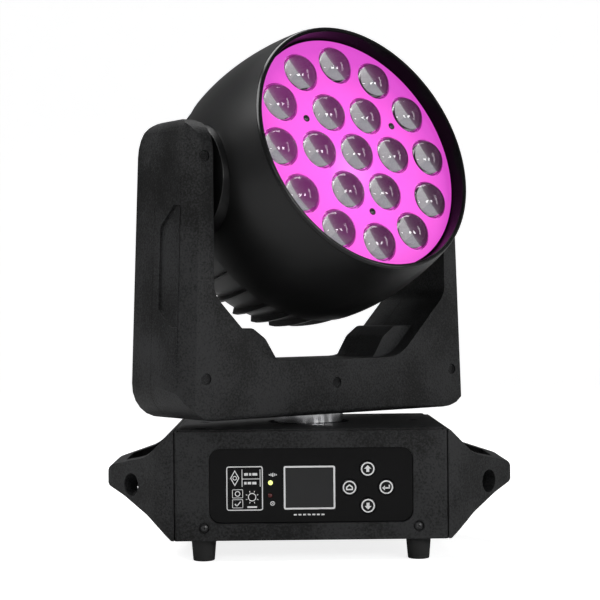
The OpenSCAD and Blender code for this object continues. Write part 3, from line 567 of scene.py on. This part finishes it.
def turned_mesh(name, outline, steps, place=None):
    """Turns a closed outline of (radius, height) points, in millimetres, about the Z axis."""
    shape = bmesh.new()
    rows = []
    for radius, height in outline:
        rows.append([shape.verts.new((radius * mm * math.cos(math.tau * k / steps),
            radius * mm * math.sin(math.tau * k / steps), height * mm)) for k in range(steps)])
    for low, high in zip(rows, rows[1:] + rows[:1]):
        for k in range(steps):
            shape.faces.new((low[k - 1], low[k], high[k], high[k - 1])).smooth = True
    bmesh.ops.remove_doubles(shape, verts=shape.verts, dist=weld_reach / 2)
    bmesh.ops.dissolve_degenerate(shape, edges=shape.edges, dist=weld_reach / 2)
    bmesh.ops.recalc_face_normals(shape, faces=shape.faces)
    mesh = bpy.data.meshes.new(name)
    shape.to_mesh(mesh)
    shape.free()
    mesh.set_sharp_from_angle(angle=math.radians(sharp_angle))
    if place:
        mesh.transform(place)
    return mesh


def principled(made):
    """The main shader of a finish."""
    return next(n for n in made.node_tree.nodes if n.type == "BSDF_PRINCIPLED")


def glowing(made, colour, strength):
    """The same finish with light of its own, for a lit part or for light painted onto an unlit
    one.
    """
    shader = principled(made)
    shader.inputs["Emission Color"].default_value = (*colour, 1)
    shader.inputs["Emission Strength"].default_value = strength
    return made


lit_guide = glowing(surface("lit_light_guide", (0.75, 0.8, 0.25), 0.25, grain=1, spread=0.1),
    (0.86, 0.95, 0.3), 0.95)
red_guide = surface("unlit_red_light_guide", (0.09, 0.012, 0.012), 0.22, grain=1, spread=0.2)
# outline of a guide as (radius, height), with its round front end at the bottom
guide_shape = [(0, 3), (2, 3), (2, 0.1), (1.85, -0.35), (1.4, -0.75), (0.75, -0.98), (0, -1.05)]
guide_ends = sorted((middle_of(points) for points in solids_of("status_lights")),
    key=lambda centre: -centre.z)
for centre, finish, label in zip(guide_ends, (lit_guide, red_guide),
        ("data_light", "fault_light")):
    facing_front = Matrix.Rotation(math.radians(-90), 4, "X")
    in_panel = Matrix.Translation((centre.x, panel_front, centre.z)) @ facing_front
    mesh = turned_mesh(label, guide_shape, 32, in_panel)
    mesh.materials.append(finish)
    guide = bpy.data.objects.new(label, mesh)
    scene.collection.objects.link(guide)
    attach(guide, "base")
    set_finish(guide, "status_light")
    if label == "data_light":
        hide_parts("status_lights")

# ---- Buttons ----
# Four round black caps in a cross, each pushed from behind into its own hole in the panel. The
# white ring and the sign are printed on the cap, so they ride with it.
ring_r, ring_stroke = 5.9, 1.15
button_plastic = surface("satin_button_plastic", (0.002, 0.002, 0.0024), 0.24, grain=0.8,
    depth=0.01, specular=0.25)
for way in ("up", "down", "menu", "enter"):
    node = "button_" + way
    finished(node, button_plastic, "gloss_black", node, edge=0.35)
    low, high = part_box(node)
    bx, bz = (low.x + high.x) / 2 / mm, (low.z + high.z) / 2 / mm
    sign = Print(low.y)
    sign.ring(bx, bz, ring_r, ring_stroke)
    if way in ("up", "down"):
        tip = 1 if way == "up" else -1
        sign.patch([(bx + dx, bz + dz * tip) for dx, dz in ((-3.1, 0.2), (3.1, 0.2), (0, 3.2))])
        sign.bar(bx, bz - 1.2 * tip, 2.6, 2.9)
    elif way == "menu":
        sign.band([(bx - 3, bz - 2.3), (bx + 3, bz - 2.3), (bx + 3, bz + 0.5), (bx, bz + 2.9),
            (bx - 3, bz + 0.5)], [(bx - 1.9, bz - 1.2), (bx + 1.9, bz - 1.2), (bx + 1.9, bz),
            (bx, bz + 1.5), (bx - 1.9, bz)])
    else:
        sign.bar(bx + 0.4, bz - 0.7, 4.0, 1.2)
        sign.bar(bx + 2.6, bz + 0.4, 1.2, 3.4)
        sign.patch([(bx - 3.6, bz - 0.7), (bx - 1.2, bz - 2.9), (bx - 1.2, bz + 1.5)])
    sign.piece(node + "_print", white_ink, "gloss_black", node)

# ---- Inside the base ----
# A green control board behind the panel, a boxed power supply on the right, and the pan motor
# on the left, all screwed to the bottom plate.


def dressed(node, finish, slot):
    """Gives a frame node that stays as it is its finish."""
    nodes[node].data.materials.clear()
    nodes[node].data.materials.append(finish)
    nodes[node]["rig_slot"] = slot


board_green = surface("green_solder_mask", (0.016, 0.10, 0.035), 0.3, grain=2.5, depth=0.03,
    spread=0.5)
motor_lacquer = surface("black_motor_lacquer", (0.03, 0.03, 0.032), 0.38, grain=0.9, depth=0.05)
turned_aluminium = surface("machined_aluminium", (0.62, 0.63, 0.65), 0.3, grain=0.5, depth=0.01,
    metal=1.0, spread=0.1, streaks=(1, 1, 6))
belt_rubber = surface("ribbed_belt_rubber", (0.016, 0.016, 0.016), 0.7, grain=1.4, depth=0.1)
for node, finish, slot in (("control_board", board_green, "board_green"),
        ("power_supply", plated_steel, "steel_plate"),
        ("pan_motor", motor_lacquer, "motor_black"), ("pan_belt", belt_rubber, "belt_rubber"),
        ("pan_motor_pulley", turned_aluminium, "cast_aluminium"),
        ("pan_pulley", turned_aluminium, "cast_aluminium"),
        ("pan_bearing", turned_aluminium, "cast_aluminium")):
    dressed(node, finish, slot)

# ---- Rear panel ----
# A black lacquered sheet panel carries the data sockets, the fuse and the locking power
# sockets. The power inlet is blue and the outlet grey, as is usual.
data_plastic = surface("black_connector_nylon", (0.024, 0.024, 0.026), 0.45, grain=0.7,
    depth=0.04)
inlet_plastic = surface("blue_connector_nylon", (0.012, 0.05, 0.28), 0.42, grain=0.7,
    depth=0.04)
outlet_plastic = surface("grey_connector_nylon", (0.25, 0.26, 0.28), 0.42, grain=0.7,
    depth=0.04)
contact_metal = surface("silver_contact_metal", (0.75, 0.72, 0.66), 0.25, grain=1, depth=0.01,
    metal=1.0, spread=0.1)
finished("rear_panel", motor_lacquer, "motor_black", "base", edge=0.3)
finished("data_input", data_plastic, "black_housing", "base", edge=0.25)
finished("data_output", data_plastic, "black_housing", "base", edge=0.15)
finished("power_inlet", inlet_plastic, "power_blue", "base", edge=0.25)
finished("power_outlet", outlet_plastic, "power_grey", "base", edge=0.25)
finished("fuse_holder", data_plastic, "gloss_black", "base", edge=0.5)
finished("data_latch", contact_metal, "steel_plate", "data_latch", edge=0.3)

# ---- Pan shaft ----
# One polished aluminium tube carries the whole yoke and turns in the pan bearing. It shows as a
# bright collar between the base and the yoke.
polished = surface("polished_aluminium", (0.86, 0.86, 0.88), 0.16, grain=0.25, depth=0.004,
    metal=1.0, spread=0.04, roughness_spread=0.06, streaks=(1, 1, 30))
finished("pan_shaft", polished, "polished_aluminium", "yoke", edge=0.3)

# ---- Yoke ----
# Two deep black plastic mouldings, front and rear, meet in a seam along the arms and enclose a
# bent steel chassis. The hidden chassis carries the bearings, the tilt motor and a board.
joints = {joint["name"]: joint for joint in frame["joints"]}
tilt_axis = Vector(joints["tilt"]["axis"]).normalized()
yoke_ahead = -Vector((0, 0, 1)).cross(tilt_axis)
finished("yoke_front_cover", housing_plastic, "black_housing", "yoke", edge=0.35)
finished("yoke_rear_cover", housing_plastic, "black_housing", "yoke", edge=0.35)
for node, finish, slot in (("yoke_chassis", plated_steel, "steel_plate"),
        ("driver_board", board_green, "board_green"),
        ("tilt_motor", motor_lacquer, "motor_black"), ("tilt_belt", belt_rubber, "belt_rubber"),
        ("tilt_motor_pulley", turned_aluminium, "cast_aluminium"),
        ("tilt_pulley", turned_aluminium, "cast_aluminium"),
        ("tilt_bearings", turned_aluminium, "cast_aluminium")):
    dressed(node, finish, slot)
yoke_screw_places = []
for points in solids_of("yoke_screws"):
    centre = middle_of(points)
    facing = yoke_ahead if centre.dot(yoke_ahead) > 0 else -yoke_ahead
    seat = min(p.dot(facing) for p in points)
    yoke_screw_places.append((centre + facing * (seat - centre.dot(facing)), facing))
screws("yoke_screw_heads", yoke_screw_places, "yoke", "yoke_screws", head_h=1.5)

# ---- Drum ----
# The head's shell is one moulded barrel with smooth satin black paint. A cast hub is bolted to
# it at each side, and the head tilts on the two hubs.
beam_axis = Vector(joints["zoom"]["axis"]).normalized()
head_turn = Matrix((tilt_axis, beam_axis.cross(tilt_axis), beam_axis)).transposed()
head_place = Matrix.Translation(joints["tilt"]["pos_m"]) @ head_turn.to_4x4()
satin_black = surface("satin_black_paint", (0.005, 0.005, 0.0052), 0.38, grain=1.6, depth=0.03,
    spread=0.15, specular=0.4, roughness_spread=0.08)
finished("drum_shell", satin_black, "drum_black", "head", edge=0)
finished("tilt_hub_left", satin_black, "drum_black", "head", edge=0.8)
finished("tilt_hub_right", satin_black, "drum_black", "head", edge=0.8)

# ---- Bezel ----
# A gloss black ring closes the front of the drum and forms the well in front of the lenses.
# The wall of the well is matt, so that it doesn't mirror the lit plate.
well_wall_r, ring_front_r = 0.1142, 0.1150  # metres from the beam's axis
matt_gloss, ring_gloss = 0.04, 0.4
gloss_bezel = surface("gloss_black_bezel", (0.004, 0.004, 0.0044), 0.2, grain=4, depth=0.01,
    spread=0.2, specular=ring_gloss, roughness_spread=0.05)
tree = gloss_bezel.node_tree
where = add(tree, "ShaderNodeTexCoord").outputs["Object"]
from_pivot = add(tree, "ShaderNodeVectorMath", {0: where, 1: head_place.translation},
    operation="SUBTRACT")
around = add(tree, "ShaderNodeVectorMath", {0: from_pivot.outputs["Vector"], 1: beam_axis},
    operation="CROSS_PRODUCT")
off_axis = add(tree, "ShaderNodeVectorMath", {0: around.outputs["Vector"]}, operation="LENGTH")
matt_inside = add(tree, "ShaderNodeMapRange", {"Value": off_axis.outputs["Value"],
    "From Min": well_wall_r, "From Max": ring_front_r, "To Min": matt_gloss,
    "To Max": ring_gloss})
tree.links.new(matt_inside.outputs["Result"],
    principled(gloss_bezel).inputs["Specular IOR Level"])
finished("front_bezel", gloss_bezel, "gloss_black", "head", edge=0.5)

# ---- Finned housing and grille ----
# The rear of the head is one black painted aluminium casting with cooling fins all round. A
# slotted plastic grille is clipped into its back, over the fan.
finned_black = surface("satin_black_casting", (0.006, 0.006, 0.0063), 0.4, grain=1.2, depth=0.06,
    spread=0.2, specular=0.35)
finished("finned_housing", finned_black, "drum_black", "head", edge=0)
finished("rear_grille", housing_plastic, "black_housing", "head", edge=0.3)

# ---- Inside the head ----
# The emitters' board is screwed to a finned heat sink with a fan behind it. Three small motors
# turn the lead screws that move the lens plate along ground rods.
for node, finish, slot in (("heat_sink", turned_aluminium, "cast_aluminium"),
        ("led_board", board_green, "board_green"), ("led_emitters", white_ink, "emitter"),
        ("zoom_motors", motor_lacquer, "motor_black"),
        ("guide_rods", plated_steel, "steel_plate"), ("fan_frame", motor_lacquer, "motor_black"),
        ("fan_rotor", motor_lacquer, "motor_black"),
        ("zoom_screw_1", plated_steel, "steel_plate"),
        ("zoom_screw_2", plated_steel, "steel_plate"),
        ("zoom_screw_3", plated_steel, "steel_plate"), ("zoom_nuts", contact_metal, "brass")):
    dressed(node, finish, slot)

# ---- Lens plate ----
# A white moulded plate that the emitters behind it light through and through in magenta. It
# carries nineteen clear acrylic lenses, and moves in and out with them to zoom.
lens_pitch = 43.3
lens_r = 18.2
plate_front = 77  # from the tilt axis
plate_t = 3
plate_r = 111
hole_gap = 0.35


def lens_spots(tree, pitch):
    """Points of one lens in the middle, a ring of six round it and a ring of twelve outside."""
    double = add(tree, "ShaderNodeMath", {0: pitch, 1: 2.0}, operation="MULTIPLY")
    six = add(tree, "GeometryNodeMeshCircle", {"Vertices": 6, "Radius": pitch})
    twelve = add(tree, "GeometryNodeMeshCircle", {"Vertices": 12, "Radius": double.outputs[0]})
    one = add(tree, "GeometryNodeMeshLine", {"Count": 1})
    spots = add(tree, "GeometryNodeJoinGeometry", {"Geometry": one.outputs["Mesh"]})
    tree.links.new(six.outputs["Mesh"], spots.inputs["Geometry"])
    tree.links.new(twelve.outputs["Mesh"], spots.inputs["Geometry"])
    return spots.outputs["Geometry"]


bright_spot = head_place @ Vector((-12 * mm, -20 * mm, plate_front * mm))
dim_reach = 0.13  # metres from the bright spot to where the plate is dimmest
cloud_depth = 0.03
plate_glow = 0.88
lit_plate = new_material("lit_magenta_plate")
tree = lit_plate.node_tree
where = add(tree, "ShaderNodeTexCoord").outputs["Object"]
from_spot = add(tree, "ShaderNodeVectorMath", {0: where, 1: bright_spot},
    operation="DISTANCE")
cloud = add(tree, "ShaderNodeTexNoise", {"Vector": where, "Scale": 26, "Detail": 3.0})
ripple = add(tree, "ShaderNodeMath", {0: cloud.outputs["Fac"], 1: cloud_depth},
    operation="MULTIPLY")
spread = add(tree, "ShaderNodeMath", {0: from_spot.outputs["Value"], 1: ripple.outputs[0]},
    operation="ADD")
reach = add(tree, "ShaderNodeMapRange", {"Value": spread.outputs[0], "From Max": dim_reach})
hue = add(tree, "ShaderNodeValToRGB", {"Fac": reach.outputs["Result"]})
hue.color_ramp.elements[0].color = (1.0, 0.36, 1.0, 1)
hue.color_ramp.elements[1].color = (0.62, 0.05, 0.50, 1)
middle_hue = hue.color_ramp.elements.new(0.35)
middle_hue.color = (1.0, 0.12, 0.85, 1)
outer_hue = hue.color_ramp.elements.new(0.72)
outer_hue.color = (1.0, 0.10, 0.72, 1)
plate_shader = add(tree, "ShaderNodeBsdfPrincipled", {"Base Color": (0.3, 0.06, 0.3, 1),
    "Roughness": 0.35, "Specular IOR Level": 0.25, "Emission Color": hue.outputs["Color"],
    "Emission Strength": plate_glow})
add(tree, "ShaderNodeOutputMaterial", {"Surface": plate_shader.outputs["BSDF"]})

sizes = {"Plate radius": plate_r * mm, "Plate thickness": plate_t * mm,
    "Hole radius": (lens_r + hole_gap) * mm, "Lens pitch": lens_pitch * mm}
tree, given = new_nodes("pierced_plate", sizes)
disc = add(tree, "GeometryNodeMeshCylinder", {"Vertices": 180, "Radius": given["Plate radius"],
    "Depth": given["Plate thickness"]})
deep = add(tree, "ShaderNodeMath", {0: given["Plate thickness"], 1: 2.0}, operation="MULTIPLY")
punch = add(tree, "GeometryNodeMeshCylinder", {"Vertices": 64, "Radius": given["Hole radius"],
    "Depth": deep.outputs[0]})
punches = add(tree, "GeometryNodeInstanceOnPoints", {"Instance": punch.outputs["Mesh"],
    "Points": lens_spots(tree, given["Lens pitch"])})
real_punches = add(tree, "GeometryNodeRealizeInstances",
    {"Geometry": punches.outputs["Instances"]})
pierced = add(tree, "GeometryNodeMeshBoolean", {"Mesh 1": disc.outputs["Mesh"],
    "Mesh 2": real_punches.outputs["Geometry"]}, operation="DIFFERENCE")
plate = grown("lens_plate_glowing", tree, sizes, pierced.outputs["Mesh"], lit_plate,
    bpy.data.meshes.new("lens_plate_start"))
plate.data.transform(head_place @ Matrix.Translation((0, 0, (plate_front - plate_t / 2) * mm)))
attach(plate, "zoom_carriage")
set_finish(plate, "glow_plate")
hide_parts("lens_plate")


def at_lens_spots(name, outline, steps, finish, slot, *replaced):
    """One turned shape repeated at the nineteen lens places of the plate."""
    spacing = {"Lens pitch": lens_pitch * mm}
    tree, given = new_nodes(name, spacing)
    copies = add(tree, "GeometryNodeInstanceOnPoints", {"Instance": given["Geometry"],
        "Points": lens_spots(tree, given["Lens pitch"])})
    piece = grown(name, tree, spacing, copies.outputs["Instances"], finish,
        turned_mesh(name, outline, steps))
    piece.data.transform(head_place @ Matrix.Translation((0, 0, plate_front * mm)))
    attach(piece, "zoom_carriage")
    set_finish(piece, slot)
    if replaced:
        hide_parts(*replaced)


# ---- Lenses and their cups ----
# The lenses are solid domes of clear acrylic over dark cups. One half of each mirrors the pale
# room from its flat back; through the other half the wall of the cup shows.
dome_h = 10
lens_edge_t = 3.6  # the straight edge of a lens, up to the small bevel at its back
lens_back = 4
clear_acrylic = new_material("clear_lens_acrylic")
tree = clear_acrylic.node_tree
where = add(tree, "ShaderNodeTexCoord").outputs["Object"]
haze = add(tree, "ShaderNodeTexNoise", {"Vector": where, "Scale": 60, "Detail": 3.0})
polish = add(tree, "ShaderNodeMapRange", {"Value": haze.outputs["Fac"], "To Max": 0.05})
clear_shader = add(tree, "ShaderNodeBsdfPrincipled", {"Base Color": (0.97, 0.93, 0.98, 1),
    "Roughness": polish.outputs["Result"], "IOR": 1.49, "Transmission Weight": 1.0})
add(tree, "ShaderNodeOutputMaterial", {"Surface": clear_shader.outputs["BSDF"]})
dome_r = (lens_r ** 2 + dome_h ** 2) / (2 * dome_h)
half_angle = math.degrees(math.asin(lens_r / dome_r))
dome_steps = 14
dome = [(dome_r * math.sin(a), dome_h - dome_r + dome_r * math.cos(a))
    for a in (math.radians(half_angle * k / dome_steps) for k in range(dome_steps, -1, -1))]
lens_rim = [(0, -lens_back), (lens_r - (lens_back - lens_edge_t), -lens_back),
    (lens_r, -lens_edge_t)]
at_lens_spots("lenses_clear", lens_rim + dome, 64, clear_acrylic, "lens_acrylic", "lenses")

# The walls and floors of the cups glow with painted magenta light. It stands in for the plate's
# light falling into them, because the cups are no lamps.
cup_wall_painted_glow = glowing(surface("smoked_cup_wall_painted_glow", (0.035, 0.008, 0.03), 0.4, grain=6, depth=0.02,
    spread=0.6, window=0.08), (0.95, 0.06, 0.75), 0.1)
tree = cup_wall_painted_glow.node_tree
where = add(tree, "ShaderNodeTexCoord").outputs["Object"]
across = add(tree, "ShaderNodeSeparateXYZ", {"Vector": where})
# Painted light: the walls' glow is strongest towards the left, where the plate is brightest, and
# fades to the right.
painted_spill_glow = add(tree, "ShaderNodeMapRange", {"Value": across.outputs["X"], "From Min": -0.02,
    "From Max": 0.13, "To Min": 0.17, "To Max": 0.03})
tree.links.new(painted_spill_glow.outputs["Result"], principled(cup_wall_painted_glow).inputs["Emission Strength"])
cup_floor_painted_glow = glowing(surface("dark_cup_floor_painted_glow", (0.02, 0.004, 0.02), 0.3, grain=2, depth=0.02,
    spread=0.3), (0.6, 0.05, 0.5), 0.12)
cup_outer_r, cup_inner_r = lens_r - 0.1, lens_r - 0.7
cup_mouth, cup_depth = 4.3, 20
cup_floor_t = 0.6
at_lens_spots("lens_cup_walls", [(cup_outer_r, -cup_mouth), (cup_outer_r, -cup_depth),
    (cup_inner_r, -cup_depth), (cup_inner_r, -cup_mouth)], 48, cup_wall_painted_glow, "steel_plate")
at_lens_spots("lens_cup_floors", [(0, -cup_depth), (cup_inner_r, -cup_depth),
    (cup_inner_r, -cup_depth - cup_floor_t), (0, -cup_depth - cup_floor_t)], 48, cup_floor_painted_glow,
    "motor_black")

# Three pan-head screws hold the plate to its carriage from the front.
screws("plate_screw_heads", [(head_seat(points, beam_axis), beam_axis)
    for points in solids_of("plate_screws")], "zoom_carriage", "plate_screws", head_r=3.2)
